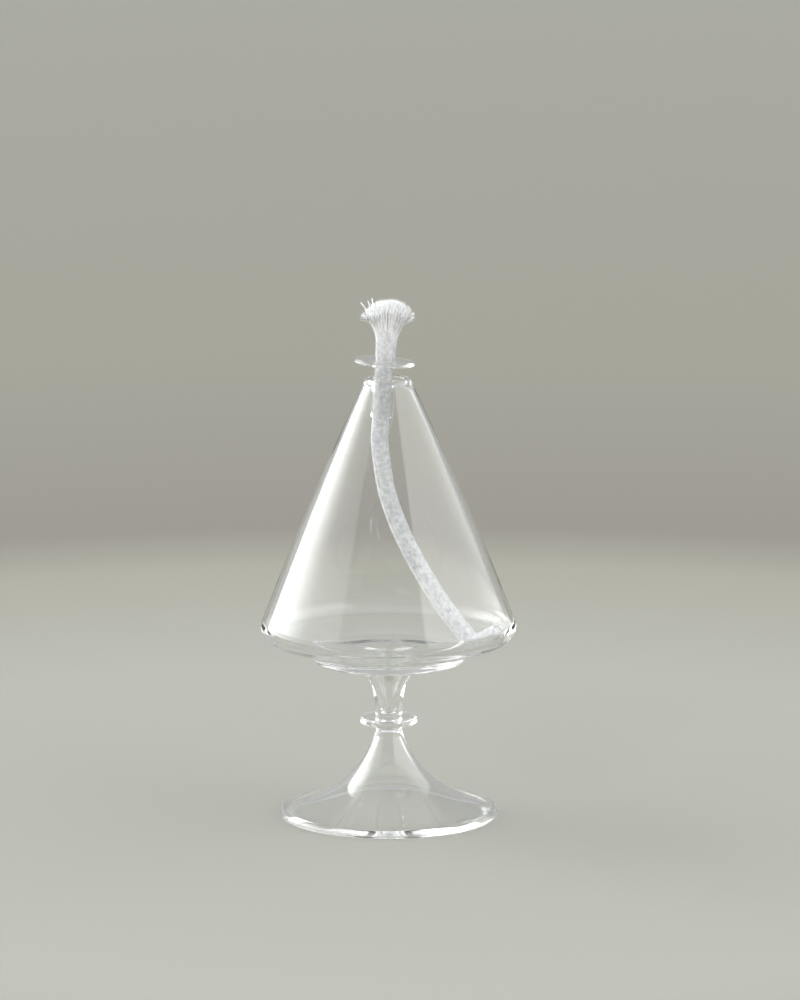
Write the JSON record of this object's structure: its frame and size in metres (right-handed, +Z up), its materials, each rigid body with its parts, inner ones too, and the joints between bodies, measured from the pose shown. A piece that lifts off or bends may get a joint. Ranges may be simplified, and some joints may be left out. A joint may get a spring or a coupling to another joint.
{
  "type": "oil lamp",
  "caption": "Clear lampworked glass oil lamp: cone-shaped reservoir on a stem, knop and trumpet foot, with a lift-out glass wick holder and a braided wick.",
  "frame": {"origin": "centre of the flat ring under the foot's rim, on the surface the lamp stands on", "axes": "+Z up the lamp's axis, +X towards the side on which the wick lies, -Y towards the viewer"},
  "size_m": [0.0885, 0.0884, 0.1823],
  "materials": {
    "clear_glass": "clear, flame polished",
    "wick_jacket": "matte braided yarn",
    "wick_core": "matte loose yarn"
  },
  "bodies": {
    "lamp": {"reservoir": "clear_glass", "stem": "clear_glass", "stem_knop": "clear_glass", "foot": "clear_glass", "wick_jacket_lower": "wick_jacket", "wick_core_lower": "wick_core"},
    "wick": {"wick_jacket_upper": "wick_jacket", "wick_core_upper": "wick_core", "wick_tuft": "wick_core"},
    "holder": {"holder_tube": "clear_glass", "holder_flange": "clear_glass"}
  },
  "joints": [
    {"name": "wick_lift", "type": "slide", "parent": "lamp", "child": "wick", "axis": [0.0715, 0, 0.9974], "range_m": [0, 0.03], "deforming": ["wick_jacket_lower", "wick_core_lower"]},
    {"name": "holder_slide", "type": "slide", "parent": "wick", "child": "holder", "axis": [0.0715, 0, 0.9974], "range_m": [-0.004, 0.006]}
  ]
}
